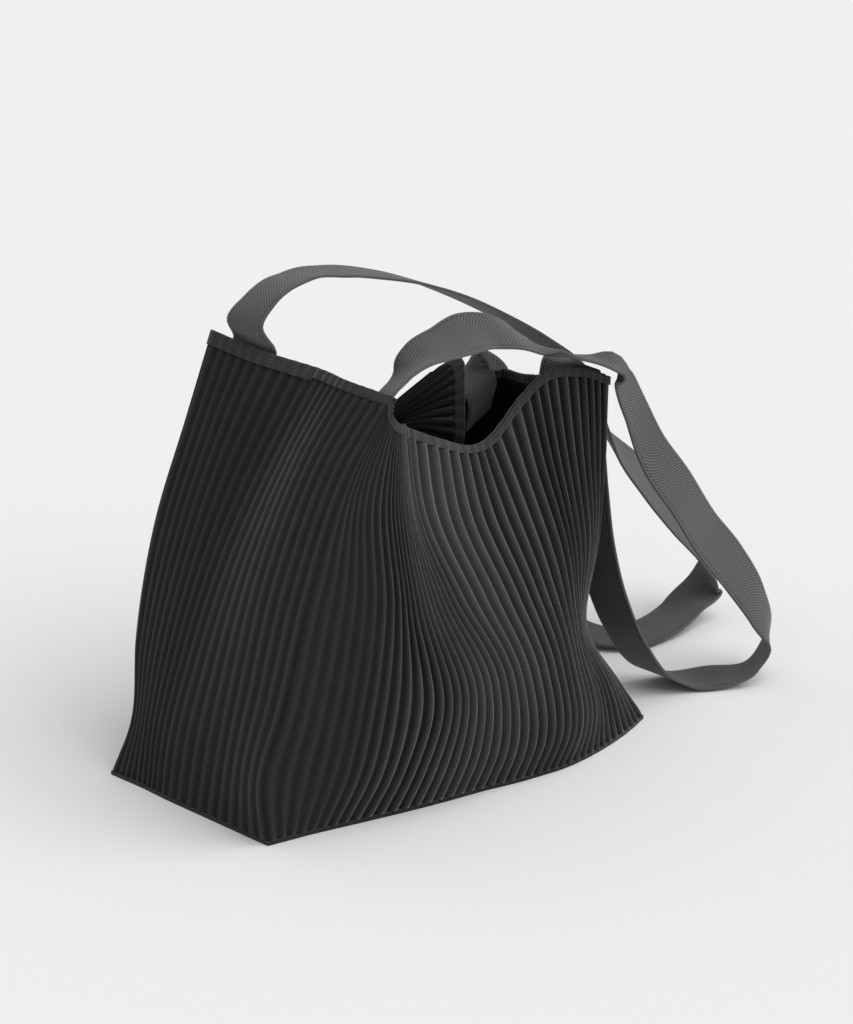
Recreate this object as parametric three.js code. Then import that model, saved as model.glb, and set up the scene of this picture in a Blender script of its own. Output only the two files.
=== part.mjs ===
// Pleated shopper bag: a slumped tote of ribbed cloth on a flat base, with two long webbing straps
// Millimetres, +X to the bag's right, +Y to its back, +Z up, floor at zero
import * as THREE from 'three';

// Driving sizes
const BASE_LENGTH = 320;       // base panel, left to right
const BASE_DEPTH = 155;        // base panel, front to back
const BAG_HEIGHT = 277;        // base panel up to the highest corner of the mouth
const BASE_THICKNESS = 2.5;
const BASE_LIP = 1;            // how far the base panel stands out past the middle of the cloth
const CLOTH_WALL = 1.5;
const PLEATS_PER_PANEL = 62;   // front or back of the bag, from side seam to side seam
const PLEAT_SIDE = 5.2;        // cloth from the ridge of a pleat to its valley
const SHALLOW_PLEAT = 0.8;     // ridge to valley where the cloth is pulled open
const STEEPEST_PLEAT = 1.7;    // rise over run of a pleat's side
const THICKEST_WALL = 2.2;     // limit of the slanted wall, in cloth walls
const HEM_HEIGHT = 6;
const HEM_THICKNESS = 2.4;
const HEM_SEAM = 0.7;          // gap between the end of the wall and the hem
const HEM_PLEATING = 0.5;      // how much of the pleats is left in the hem
const STRAP_WIDTH = 38;
const STRAP_THICKNESS = 1.6;
const STRAP_TAIL = 22;         // length of strap sewn inside the mouth
const STRAP_FOLD = 3;          // height of a strap's fold over the hem
const GAP = 0.3;               // between pieces that touch

// How finely the faces are cut
const WALL_LEVELS = [0, 0.09, 0.2, 0.34, 0.5, 0.66, 0.82, 1];
const SEAT_SAMPLE_PLACES = 6;  // how far to each side of a strap seat the cloth is felt for
const SEAT_SAMPLE_STEP = 0.25;
const SEAT_MARGIN = 2;         // cloth this close beside a strap counts as in its way
const STEPS_PER_STATION = 2;

// Cloth form: a row for each guide pleat. Place counts pleats round the bag from the left side seam.
// x, y and z are shares of the base length, base depth and bag height at the levels named here.
const LEVELS = [0, 0.12, 0.3, 0.55, 0.8, 1];
const PLACES_ROUND = 124;
const GUIDES = [
  { name: 'left seam', place: 0, x: [-0.5, -0.48, -0.43, -0.35, -0.255, -0.2],
    y: [0.14, 0.14, 0.13, 0.1, 0.03, -0.1], z: [0, 0.125, 0.305, 0.545, 0.78, 0.97] },
  { name: 'left side, front half', place: 5, x: [-0.5, -0.49, -0.46, -0.4, -0.31, -0.205],
    y: [-0.17, -0.195, -0.22, -0.24, -0.28, -0.31], z: [0, 0.13, 0.31, 0.56, 0.8, 0.965] },
  { name: 'front left corner', place: 10, corner: true, x: [-0.5, -0.52, -0.485, -0.42, -0.312, -0.173],
    y: [-0.5, -0.52, -0.57, -0.585, -0.55, -0.49], z: [0, 0.13, 0.315, 0.575, 0.805, 0.945] },
  { name: 'lit front edge', place: 14, x: [-0.41, -0.39, -0.365, -0.325, -0.29, -0.195],
    y: [-0.52, -0.57, -0.62, -0.63, -0.58, -0.53], z: [0, 0.11, 0.28, 0.525, 0.765, 0.92] },
  { name: 'gathered top, left', place: 18, x: [-0.315, -0.29, -0.275, -0.25, -0.24, -0.19],
    y: [-0.555, -0.625, -0.69, -0.68, -0.61, -0.54], z: [0, 0.1, 0.265, 0.5, 0.73, 0.9] },
  { name: 'gathered top, middle', place: 22, x: [-0.205, -0.19, -0.18, -0.205, -0.21, -0.175],
    y: [-0.595, -0.67, -0.755, -0.7, -0.62, -0.535], z: [0, 0.1, 0.26, 0.49, 0.72, 0.89] },
  { name: 'gathered top, right', place: 26, x: [-0.1, -0.09, -0.095, -0.145, -0.185, -0.16],
    y: [-0.625, -0.7, -0.76, -0.66, -0.605, -0.515], z: [0, 0.105, 0.27, 0.485, 0.71, 0.885] },
  { name: 'belly, left', place: 30, x: [0, 0.01, 0.005, -0.07, -0.14, -0.135],
    y: [-0.645, -0.71, -0.71, -0.62, -0.555, -0.48], z: [0, 0.1, 0.265, 0.47, 0.685, 0.865] },
  { name: 'dent, left', place: 33, x: [0.07, 0.085, 0.085, 0.03, -0.03, -0.035],
    y: [-0.67, -0.715, -0.68, -0.585, -0.5, -0.435], z: [0, 0.095, 0.245, 0.44, 0.64, 0.81] },
  { name: 'dent, lowest hem', place: 36, x: [0.135, 0.155, 0.17, 0.135, 0.085, 0.07],
    y: [-0.68, -0.72, -0.645, -0.54, -0.44, -0.37], z: [0, 0.09, 0.23, 0.415, 0.605, 0.76] },
  { name: 'dent, right', place: 39, x: [0.195, 0.225, 0.24, 0.225, 0.185, 0.145],
    y: [-0.685, -0.695, -0.605, -0.49, -0.395, -0.335], z: [0, 0.085, 0.225, 0.415, 0.605, 0.76] },
  { name: 'rise to the right', place: 42, x: [0.265, 0.295, 0.293, 0.297, 0.265, 0.235],
    y: [-0.665, -0.63, -0.535, -0.445, -0.355, -0.315], z: [0, 0.09, 0.24, 0.455, 0.665, 0.83] },
  { name: 'waist, left', place: 45, x: [0.335, 0.34, 0.328, 0.337, 0.32, 0.297],
    y: [-0.63, -0.58, -0.49, -0.43, -0.365, -0.34], z: [0, 0.1, 0.25, 0.475, 0.697, 0.88] },
  { name: 'waist, right', place: 48, x: [0.41, 0.388, 0.35, 0.385, 0.38, 0.37],
    y: [-0.58, -0.545, -0.455, -0.41, -0.38, -0.37], z: [0, 0.1, 0.245, 0.465, 0.69, 0.875] },
  { name: 'front right corner', place: 52, corner: true, x: [0.5, 0.45, 0.388, 0.425, 0.44, 0.43],
    y: [-0.5, -0.45, -0.385, -0.375, -0.39, -0.42], z: [0, 0.09, 0.225, 0.445, 0.67, 0.845] },
  { name: 'right side, front half', place: 57, x: [0.5, 0.465, 0.42, 0.43, 0.43, 0.425],
    y: [-0.26, -0.24, -0.2, -0.17, -0.18, -0.22], z: [0, 0.1, 0.25, 0.46, 0.66, 0.815] },
  { name: 'right seam', place: 62, x: [0.5, 0.475, 0.44, 0.42, 0.41, 0.4],
    y: [0, 0, 0.01, 0.01, -0.01, -0.03], z: [0, 0.11, 0.27, 0.475, 0.665, 0.807] },
  { name: 'right side, back half', place: 67, x: [0.5, 0.475, 0.45, 0.44, 0.435, 0.43],
    y: [0.26, 0.26, 0.245, 0.21, 0.16, 0.12], z: [0, 0.11, 0.27, 0.47, 0.655, 0.785] },
  { name: 'back right corner', place: 72, corner: true, x: [0.5, 0.475, 0.46, 0.465, 0.46, 0.45],
    y: [0.5, 0.49, 0.465, 0.4, 0.33, 0.26], z: [0, 0.11, 0.28, 0.48, 0.655, 0.775] },
  { name: 'back, near the right', place: 75, x: [0.44, 0.422, 0.412, 0.412, 0.392, 0.385],
    y: [0.5, 0.505, 0.493, 0.415, 0.32, 0.25], z: [0, 0.11, 0.28, 0.48, 0.65, 0.775] },
  { name: 'back, beside the flop', place: 78, x: [0.38, 0.37, 0.365, 0.36, 0.325, 0.32],
    y: [0.5, 0.52, 0.52, 0.43, 0.31, 0.23], z: [0, 0.11, 0.28, 0.48, 0.637, 0.735] },
  { name: 'flop, low end of hem', place: 84, x: [0.24, 0.235, 0.24, 0.225, 0.09, 0.22],
    y: [0.5, 0.53, 0.54, 0.42, 0.065, 0], z: [0, 0.11, 0.28, 0.49, 0.735, 0.68] },
  { name: 'flop, middle', place: 88, x: [0.145, 0.145, 0.16, 0.16, 0.065, 0.24],
    y: [0.5, 0.535, 0.555, 0.43, 0.06, 0.04], z: [0, 0.11, 0.28, 0.51, 0.755, 0.78] },
  { name: 'flop, high end of hem', place: 92, x: [0.05, 0.055, 0.075, 0.09, 0.05, 0.25],
    y: [0.5, 0.54, 0.57, 0.45, 0.065, 0.09], z: [0, 0.11, 0.28, 0.53, 0.775, 0.87] },
  { name: 'back, behind the flop', place: 98, x: [-0.095, -0.075, -0.045, 0, 0.03, 0.12],
    y: [0.5, 0.54, 0.57, 0.5, 0.24, 0.2], z: [0, 0.11, 0.28, 0.535, 0.715, 0.75] },
  { name: 'back, low hem', place: 104, x: [-0.25, -0.225, -0.18, -0.115, -0.05, 0],
    y: [0.5, 0.54, 0.57, 0.54, 0.39, 0.32], z: [0, 0.11, 0.28, 0.53, 0.69, 0.73] },
  { name: 'back, left', place: 109, x: [-0.375, -0.345, -0.3, -0.24, -0.165, -0.12],
    y: [0.5, 0.53, 0.56, 0.555, 0.49, 0.44], z: [0, 0.11, 0.285, 0.535, 0.735, 0.83] },
  { name: 'back left corner', place: 114, corner: true, x: [-0.5, -0.447, -0.42, -0.365, -0.29, -0.228],
    y: [0.5, 0.51, 0.54, 0.55, 0.52, 0.5], z: [0, 0.105, 0.293, 0.55, 0.797, 0.993] },
  { name: 'left side, back half', place: 119, x: [-0.497, -0.475, -0.434, -0.36, -0.275, -0.206],
    y: [0.32, 0.33, 0.34, 0.335, 0.3, 0.245], z: [0, 0.118, 0.296, 0.543, 0.786, 0.971] },
];

// Strap routes between their sewn tails, in shares of the base length, base depth and bag height.
// Across is the direction of the strap's width at the station.
const FRONT_STRAP = {
  start: { place: 11, edgeOn: { up: [0.35, 0, 0.94], across: [0.49, 0.84, -0.18] } },
  end: { place: 57.5, overHem: true },
  route: [
    { name: 'above the front left corner', x: -0.103, y: -0.361, z: 0.963, across: [0.49, 0.84, -0.18] },
    { name: 'arch, rising', x: -0.074, y: -0.365, z: 0.989, across: [0.4, 0.91, -0.05] },
    { name: 'arch, bend', x: -0.033, y: -0.355, z: 1.006, across: [0.2, 0.96, 0.08] },
    { name: 'arch, near the top', x: 0.05, y: -0.325, z: 1.014, across: [0, 0.97, 0.22] },
    { name: 'arch, top', x: 0.141, y: -0.285, z: 1.013, across: [0.1, 0.93, 0.4] },
    { name: 'arch, past the top', x: 0.2, y: -0.3, z: 0.998, across: [0.1, 0.93, 0.36] },
    { name: 'arch, falling', x: 0.2725, y: -0.29, z: 0.957, across: [0.05, 0.96, 0.2] },
    { name: 'arch, edge on', x: 0.301, y: -0.297, z: 0.938, across: [0, 0.99, -0.05] },
    { name: 'edge on above the front hem', x: 0.33, y: -0.319, z: 0.918, across: [0.02, 0.99, -0.14] },
    { name: 'flat above the hem', x: 0.379, y: -0.335, z: 0.899, across: [0.05, 0.99, -0.1] },
    { name: 'flat, towards the corner', x: 0.437, y: -0.348, z: 0.876, across: [0.25, 0.96, 0] },
    { name: 'fold at the corner', x: 0.478, y: -0.368, z: 0.857, across: [0.75, 0.64, 0.03] },
    { name: 'under the fold', x: 0.487, y: -0.387, z: 0.822, across: [0.8, 0.55, 0.2] },
    { name: 'below the fold', x: 0.509, y: -0.41, z: 0.755, across: [0.77, 0.5, 0.35] },
    { name: 'wide face, near the corner', x: 0.537, y: -0.455, z: 0.655, across: [0.74, 0.42, 0.5] },
    { name: 'wide face, high', x: 0.613, y: -0.47, z: 0.536, across: [0.74, 0.39, 0.55] },
    { name: 'wide face, middle', x: 0.7, y: -0.458, z: 0.404, across: [0.74, 0.39, 0.55] },
    { name: 'wide face, low', x: 0.787, y: -0.452, z: 0.293, across: [0.74, 0.39, 0.55] },
    { name: 'loop turn, high', x: 0.85, y: -0.471, z: 0.182, across: [0.73, 0.5, 0.45] },
    { name: 'loop turn, middle', x: 0.872, y: -0.497, z: 0.094, across: [0.7, 0.68, 0.2] },
    { name: 'loop turn, low', x: 0.84, y: -0.47, z: 0.032, across: [0.62, 0.7, -0.1] },
    { name: 'end of the floor run', x: 0.769, y: -0.4, z: 0.013, across: [0.3, 0.95, 0] },
    { name: 'on the floor', x: 0.703, y: -0.323, z: 0.012, across: [0.1, 1, 0] },
    { name: 'meeting the floor', x: 0.634, y: -0.277, z: 0.05, across: [0, 1, 0] },
    { name: 'towards the floor', x: 0.572, y: -0.24, z: 0.152, across: [0, 1, 0] },
    { name: 'leaving the side', x: 0.535, y: -0.2, z: 0.27, across: [0, 1, 0] },
    { name: 'hanging, low', x: 0.51, y: -0.175, z: 0.4, across: [0, 1, 0] },
    { name: 'hanging, middle', x: 0.495, y: -0.16, z: 0.55, across: [0, 1, 0] },
    { name: 'hanging, high', x: 0.475, y: -0.17, z: 0.7, across: [0, 1, 0] },
    { name: 'outside the right hem', x: 0.455, y: -0.185, z: 0.79, across: [0, 1, 0] },
  ],
};
const BACK_STRAP = {
  start: { place: 118 },
  end: { place: 76.8, overHem: true },
  route: [
    { name: 'above the left side', x: -0.215, y: 0.32, z: 1.04, across: [0.1, 1, 0] },
    { name: 'arch, rising', x: -0.18, y: 0.32, z: 1.08, across: [0.3, 0.95, 0] },
    { name: 'arch, bend', x: -0.137, y: 0.323, z: 1.105, across: [0.45, 0.9, 0] },
    { name: 'arch, top', x: -0.073, y: 0.323, z: 1.118, across: [0.5, 0.85, -0.1] },
    { name: 'arch, past the top', x: 0.018, y: 0.323, z: 1.108, across: [0.45, 0.85, -0.1] },
    { name: 'arch, falling', x: 0.115, y: 0.323, z: 1.083, across: [0.4, 0.9, -0.1] },
    { name: 'arch, middle', x: 0.208, y: 0.297, z: 1.05, across: [0.3, 0.93, -0.12] },
    { name: 'arch, turning edge on', x: 0.305, y: 0.245, z: 1, across: [0.25, 0.93, -0.16] },
    { name: 'arch, edge on', x: 0.387, y: 0.18, z: 0.945, across: [0.25, 0.93, -0.16] },
    { name: 'over the right side', x: 0.458, y: 0.09, z: 0.885, across: [0.25, 0.93, -0.16] },
    { name: 'turn downwards', x: 0.533, y: 0.026, z: 0.805, across: [0.25, 0.93, -0.16] },
    { name: 'hanging, high', x: 0.592, y: 0.039, z: 0.685, across: [0.3, 0.9, 0] },
    { name: 'hanging, middle', x: 0.67, y: 0.065, z: 0.567, across: [0.5, 0.8, 0.2] },
    { name: 'hanging, low', x: 0.773, y: 0.103, z: 0.458, across: [0.6, 0.7, 0.4] },
    { name: 'reaching out', x: 0.902, y: 0.155, z: 0.32, across: [0.6, 0.6, 0.45] },
    { name: 'loop turn, high', x: 1.02, y: 0.2, z: 0.195, across: [0.6, 0.6, 0.45] },
    { name: 'loop turn, middle', x: 1.063, y: 0.232, z: 0.13, across: [0.5, 0.7, 0.4] },
    { name: 'loop turn, low', x: 1.065, y: 0.271, z: 0.079, across: [0.3, 0.9, 0.2] },
    { name: 'towards the floor', x: 0.987, y: 0.252, z: 0.038, across: [0.3, 0.95, 0] },
    { name: 'on the floor', x: 0.873, y: 0.213, z: 0.014, across: [0.3, 0.95, 0] },
    { name: 'turning behind the bag', x: 0.781, y: 0.219, z: 0.014, across: [0.5, 0.85, 0] },
    { name: 'behind the bag, low', x: 0.72, y: 0.4, z: 0.03, across: [0.9, 0.4, 0] },
    { name: 'rising behind the bag', x: 0.625, y: 0.59, z: 0.16, across: [0.9, 0.1, 0.3] },
    { name: 'behind the back corner', x: 0.55, y: 0.62, z: 0.45, across: [0.9, 0, 0.1] },
    { name: 'below the back hem', x: 0.495, y: 0.46, z: 0.7, across: [0.9, 0.2, 0] },
  ],
};

const CLOTH = new THREE.MeshStandardMaterial({ color: 0x2b2b2f, roughness: 0.9, metalness: 0 });
const BASE_CLOTH = new THREE.MeshStandardMaterial({ color: 0x202023, roughness: 0.9, metalness: 0 });
const WEBBING = new THREE.MeshStandardMaterial({ color: 0x38383c, roughness: 0.8, metalness: 0 });

// Smooth curves through table values

function cubic(t, before, after, valueBefore, valueAfter, slopeBefore, slopeAfter) {
  const span = after - before;
  const s = (t - before) / span;
  const keep = (2 * s - 3) * s * s + 1;
  return keep * valueBefore + (1 - keep) * valueAfter
    + s * (s - 1) * (s - 1) * span * slopeBefore + s * s * (s - 1) * span * slopeAfter;
}

function blendedSlope(slopeBefore, slopeAfter, spanBefore, spanAfter) {
  return (slopeBefore * spanAfter + slopeAfter * spanBefore) / (spanBefore + spanAfter);
}

function curveValue(places, values, t) {
  const last = places.length - 1;
  let k = 0;
  while (k < last - 1 && t > places[k + 1]) k += 1;
  const slope = (i) => (values[i + 1] - values[i]) / (places[i + 1] - places[i]);
  const slopeAt = (i) => {
    if (i === 0) return slope(0);
    if (i === last) return slope(last - 1);
    return blendedSlope(slope(i - 1), slope(i), places[i] - places[i - 1], places[i + 1] - places[i]);
  };
  return cubic(t, places[k], places[k + 1], values[k], values[k + 1], slopeAt(k), slopeAt(k + 1));
}

// Middle of the cloth, at a place round the bag and a level from base to hem

function guideNumber(index) {
  const turns = Math.floor(index / GUIDES.length);
  const guide = GUIDES[index - turns * GUIDES.length];
  return { guide, place: guide.place + turns * PLACES_ROUND };
}

function guideValue(place, axis, level) {
  let k = 0;
  while (guideNumber(k + 1).place <= place) k += 1;
  const rows = [k - 1, k, k + 1, k + 2].map(guideNumber);
  const values = rows.map((row) => row.guide[axis][level]);
  const spans = [0, 1, 2].map((i) => rows[i + 1].place - rows[i].place);
  const slopes = [0, 1, 2].map((i) => (values[i + 1] - values[i]) / spans[i]);
  const leaving = rows[1].guide.corner ? slopes[1] : blendedSlope(slopes[0], slopes[1], spans[0], spans[1]);
  const arriving = rows[2].guide.corner ? slopes[1] : blendedSlope(slopes[1], slopes[2], spans[1], spans[2]);
  return cubic(place, rows[1].place, rows[2].place, values[1], values[2], leaving, arriving);
}

const wrapPlace = (place) => ((place % PLACES_ROUND) + PLACES_ROUND) % PLACES_ROUND;

function clothPoint(place, level) {
  const around = wrapPlace(place);
  const read = (axis) => curveValue(LEVELS, LEVELS.map((_, i) => guideValue(around, axis, i)), level);
  return new THREE.Vector3(
    read('x') * BASE_LENGTH,
    read('y') * BASE_DEPTH,
    BASE_THICKNESS + GAP + read('z') * BAG_HEIGHT,
  );
}

// Direction out of the bag, the run up a pleat and the room that one pleat has

const PLACES_PER_PLEAT = PLACES_ROUND / 2 / PLEATS_PER_PANEL;
const LEVEL_REACH = 0.02;

function clothFrame(place, level) {
  const half = PLACES_PER_PLEAT / 2;
  const along = clothPoint(place + half, level).sub(clothPoint(place - half, level));
  const low = Math.max(level - LEVEL_REACH, 0);
  const high = Math.min(level + LEVEL_REACH, 1);
  const up = clothPoint(place, high).sub(clothPoint(place, low)).divideScalar(high - low);
  const out = new THREE.Vector3().crossVectors(along, up);
  const room = out.length() / up.length();
  out.normalize();
  if (level === 0) out.setZ(0).normalize();
  return { point: clothPoint(place, level), out, up, room };
}

function pleatDepth(room) {
  const halfRoom = room / 2;
  const folded = Math.sqrt(Math.max(PLEAT_SIDE * PLEAT_SIDE - halfRoom * halfRoom, 0));
  return Math.min(Math.max(folded, SHALLOW_PLEAT), STEEPEST_PLEAT * halfRoom);
}

function slantedWall(room, depth) {
  const slope = (2 * depth) / room;
  return CLOTH_WALL * Math.min(Math.sqrt(1 + slope * slope), THICKEST_WALL);
}

// A closed sheet from two grids of points, each grid a list of columns

function sheetGeometry(outer, inner) {
  const columns = outer.length;
  const rows = outer[0].length;
  const positions = [...outer, ...inner].flat().flatMap((p) => [p.x, p.y, p.z]);
  const faces = [];
  const quad = (a, b, c, d) => faces.push(a, b, c, a, c, d);
  const outside = (c, r) => c * rows + r;
  const inside = (c, r) => (columns + c) * rows + r;
  for (let c = 0; c < columns - 1; c += 1) {
    for (let r = 0; r < rows - 1; r += 1) {
      quad(outside(c, r), outside(c + 1, r), outside(c + 1, r + 1), outside(c, r + 1));
      quad(inside(c, r), inside(c, r + 1), inside(c + 1, r + 1), inside(c + 1, r));
    }
    quad(outside(c, 0), inside(c, 0), inside(c + 1, 0), outside(c + 1, 0));
    quad(outside(c, rows - 1), outside(c + 1, rows - 1), inside(c + 1, rows - 1), inside(c, rows - 1));
  }
  for (let r = 0; r < rows - 1; r += 1) {
    quad(outside(0, r), outside(0, r + 1), inside(0, r + 1), inside(0, r));
    const c = columns - 1;
    quad(outside(c, r), inside(c, r), inside(c, r + 1), outside(c, r + 1));
  }
  const geometry = new THREE.BufferGeometry();
  geometry.setAttribute('position', new THREE.Float32BufferAttribute(positions, 3));
  geometry.setIndex(faces);
  geometry.computeVertexNormals();
  return geometry;
}

// Columns of one panel run from valley to ridge to valley, with a gap left at both side seams

function panelColumns(firstPlace) {
  const columns = 2 * PLEATS_PER_PANEL;
  const list = [];
  for (let c = 0; c <= columns; c += 1) {
    const seamSide = (c === 0 ? 1 : 0) - (c === columns ? 1 : 0);
    list.push({ place: firstPlace + (c / 2) * PLACES_PER_PLEAT, fold: c % 2 ? 0.5 : -0.5, seamSide });
  }
  return list;
}

function seamShift(column, frame) {
  const along = new THREE.Vector3().crossVectors(frame.up, frame.out).normalize();
  return along.multiplyScalar((column.seamSide * GAP) / 2);
}

// The wall stops below the hem, and the hem starts a seam above the wall's end
const wallTop = (place) => 1 - (HEM_HEIGHT + HEM_SEAM) / clothFrame(place, 1).up.length();

function hemFoot(place) {
  const frame = clothFrame(place, wallTop(place));
  frame.point.addScaledVector(frame.up.clone().normalize(), HEM_SEAM);
  return frame;
}

function panelGeometry(firstPlace) {
  const outer = [];
  const inner = [];
  for (const column of panelColumns(firstPlace)) {
    const frames = WALL_LEVELS.map((level) => clothFrame(column.place, level * wallTop(column.place)));
    const shifted = frames.map((frame) => frame.point.clone().add(seamShift(column, frame)));
    const offset = (side) => frames.map((frame, i) => {
      const depth = pleatDepth(frame.room);
      const away = column.fold * depth + (side * slantedWall(frame.room, depth)) / 2;
      return shifted[i].clone().addScaledVector(frame.out, away);
    });
    outer.push(offset(1));
    inner.push(offset(-1));
  }
  return sheetGeometry(outer, inner);
}

function hemGeometry(firstPlace) {
  const outer = [];
  const inner = [];
  for (const column of panelColumns(firstPlace)) {
    const foot = hemFoot(column.place);
    const frames = [foot, { ...foot, point: clothPoint(column.place, 1) }];
    const offset = (side) => frames.map((frame) => {
      const away = column.fold * HEM_PLEATING * pleatDepth(frame.room) + (side * HEM_THICKNESS) / 2;
      return frame.point.clone().add(seamShift(column, frame)).addScaledVector(frame.out, away);
    });
    outer.push(offset(1));
    inner.push(offset(-1));
  }
  return sheetGeometry(outer, inner);
}

// Base panel: the outline of the cloth's foot with a small lip

function basePanelGeometry() {
  const outline = [];
  for (let place = 0; place < PLACES_ROUND; place += 2) {
    const frame = clothFrame(place, 0);
    const edge = frame.point.clone().addScaledVector(frame.out, BASE_LIP);
    outline.push(new THREE.Vector2(edge.x, edge.y));
  }
  return new THREE.ExtrudeGeometry(new THREE.Shape(outline), { depth: BASE_THICKNESS, bevelEnabled: false });
}

// Straps: a flat ribbon whose tails lie against the inside of the cloth

function insideFace(place, level) {
  const frame = clothFrame(place, level);
  const depth = pleatDepth(frame.room);
  const wall = Math.max(slantedWall(frame.room, depth), HEM_THICKNESS);
  return frame.point.addScaledVector(frame.out, -(depth + wall) / 2);
}

function seatAxes(seat) {
  if (seat.edgeOn) {
    const [up, across] = [seat.edgeOn.up, seat.edgeOn.across].map((v) => new THREE.Vector3(...v).normalize());
    across.addScaledVector(up, -across.dot(up)).normalize();
    const flat = new THREE.Vector3().crossVectors(up, across);
    return { up, across, inward: across, sideways: flat, depth: STRAP_WIDTH, breadth: STRAP_THICKNESS };
  }
  const beside = (places) => clothPoint(seat.place + places, 1);
  const spread = STRAP_WIDTH / 2 / beside(0.5).distanceTo(beside(-0.5));
  const up = clothFrame(seat.place, 1).up.normalize();
  const across = beside(-spread).sub(beside(spread));
  across.addScaledVector(up, -across.dot(up)).normalize();
  const inward = new THREE.Vector3().crossVectors(across, up);
  return { up, across, inward, sideways: across, depth: STRAP_THICKNESS, breadth: STRAP_WIDTH };
}

// How far the cloth near a seat reaches along a direction, in the strap's way
function seatReach(seat, axes, levels, direction, read) {
  let reach = -Infinity;
  for (let away = -SEAT_SAMPLE_PLACES; away <= SEAT_SAMPLE_PLACES; away += SEAT_SAMPLE_STEP) {
    for (const level of levels) {
      const offset = read(seat.place + away, level).sub(clothPoint(seat.place, 1));
      const inTheWay = Math.abs(offset.dot(axes.sideways)) < axes.breadth / 2 + SEAT_MARGIN;
      if (inTheWay) reach = Math.max(reach, offset.dot(direction));
    }
  }
  return reach;
}

// Stations of a sewn tail from its lowest end up to the hem, and over the hem if the strap leaves outwards
function tailStations(seat) {
  const axes = seatAxes(seat);
  const tailLevel = STRAP_TAIL / clothFrame(seat.place, 1).up.length();
  const levels = [1 - tailLevel, 1 - tailLevel / 2, 1];
  const inside = GAP + axes.depth / 2 + seatReach(seat, axes, levels, axes.inward, insideFace);
  const station = (height, away) => ({
    at: clothPoint(seat.place, 1).addScaledVector(axes.up, height).addScaledVector(axes.inward, away),
    across: axes.across,
  });
  const tail = [-STRAP_TAIL, -STRAP_TAIL / 2, 0].map((height) => station(height, inside));
  if (!seat.overHem) return tail;
  const turn = STRAP_FOLD + seatReach(seat, axes, [1], axes.up, clothPoint);
  return [...tail, station(turn, inside / 2), station(turn, -HEM_THICKNESS)];
}

function strapStations(strap) {
  const route = strap.route.map((row) => ({
    at: new THREE.Vector3(row.x * BASE_LENGTH, row.y * BASE_DEPTH, row.z * BAG_HEIGHT),
    across: new THREE.Vector3(...row.across),
  }));
  const last = tailStations(strap.end).reverse();
  if (last[0].across.dot(route.at(-1).across) < 0) last.forEach(({ across }) => across.negate());
  return [...tailStations(strap.start), ...route, ...last];
}

function strapGeometry(strap) {
  const stations = strapStations(strap);
  const travelled = [0];
  for (let i = 1; i < stations.length; i += 1) {
    travelled.push(travelled[i - 1] + stations[i].at.distanceTo(stations[i - 1].at));
  }
  const read = (key, t) => new THREE.Vector3(...['x', 'y', 'z'].map(
    (axis) => curveValue(travelled, stations.map((station) => station[key][axis]), t),
  ));
  const steps = [];
  for (let i = 0; i < stations.length - 1; i += 1) {
    for (let s = 0; s < STEPS_PER_STATION; s += 1) {
      steps.push(travelled[i] + ((travelled[i + 1] - travelled[i]) * s) / STEPS_PER_STATION);
    }
  }
  const end = travelled[travelled.length - 1];
  steps.push(end);
  const outer = [[], []];
  const inner = [[], []];
  const reach = GAP;
  for (const t of steps) {
    const ahead = read('at', Math.min(t + reach, end)).sub(read('at', Math.max(t - reach, 0))).normalize();
    const across = read('across', t);
    across.addScaledVector(ahead, -across.dot(ahead)).normalize();
    const face = new THREE.Vector3().crossVectors(across, ahead).normalize();
    [-1, 1].forEach((side, i) => {
      const edge = read('at', t).addScaledVector(across, (side * STRAP_WIDTH) / 2);
      outer[i].push(edge.clone().addScaledVector(face, STRAP_THICKNESS / 2));
      inner[i].push(edge.clone().addScaledVector(face, -STRAP_THICKNESS / 2));
    });
  }
  return sheetGeometry(outer, inner);
}

function piece(name, geometry, material) {
  const mesh = new THREE.Mesh(geometry, material);
  mesh.name = name;
  return mesh;
}

const FRONT_FIRST_PLACE = 0;
const BACK_FIRST_PLACE = PLACES_ROUND / 2;

const bag = new THREE.Group();
bag.add(piece('base_panel', basePanelGeometry(), BASE_CLOTH));
bag.add(piece('front_panel', panelGeometry(FRONT_FIRST_PLACE), CLOTH));
bag.add(piece('back_panel', panelGeometry(BACK_FIRST_PLACE), CLOTH));
bag.add(piece('front_hem', hemGeometry(FRONT_FIRST_PLACE), CLOTH));
bag.add(piece('back_hem', hemGeometry(BACK_FIRST_PLACE), CLOTH));
bag.add(piece('front_strap', strapGeometry(FRONT_STRAP), WEBBING));
bag.add(piece('back_strap', strapGeometry(BACK_STRAP), WEBBING));

export default bag;
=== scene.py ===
import math

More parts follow.
